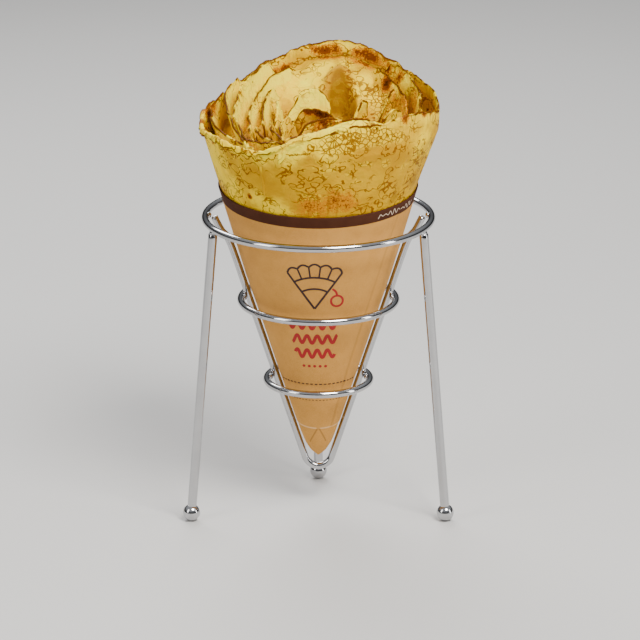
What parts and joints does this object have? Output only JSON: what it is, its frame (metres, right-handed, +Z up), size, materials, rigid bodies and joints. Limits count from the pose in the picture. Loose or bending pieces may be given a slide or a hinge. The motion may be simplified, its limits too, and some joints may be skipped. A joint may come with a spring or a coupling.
{
  "type": "rolled crepe in a paper cone on a wire stand",
  "caption": "Plain crepe rolled into a cone with an open folded top, in a kraft paper sleeve, held upright by a chromed wire stand with ball feet.",
  "frame": {"origin": "on the floor, under the axis of the stand's rings", "axes": "+Z up along the rings' axis, -Y towards the front, which the two front feet face; +X to the right"},
  "size_m": [0.1488, 0.1284, 0.2506],
  "materials": {
    "crepe": "pan-baked batter, satin",
    "kraft_paper": "plain uncoated paper",
    "chrome": "polished"
  },
  "bodies": {
    "root": {"crepe": "crepe", "paper_sleeve": "kraft_paper", "ring_top": "chrome", "ring_middle": "chrome", "ring_lower": "chrome", "cone_wire": "chrome", "leg_left": "chrome", "leg_right": "chrome", "leg_rear": "chrome", "foot_left": "chrome", "foot_right": "chrome", "foot_rear": "chrome"}
  },
  "joints": []
}
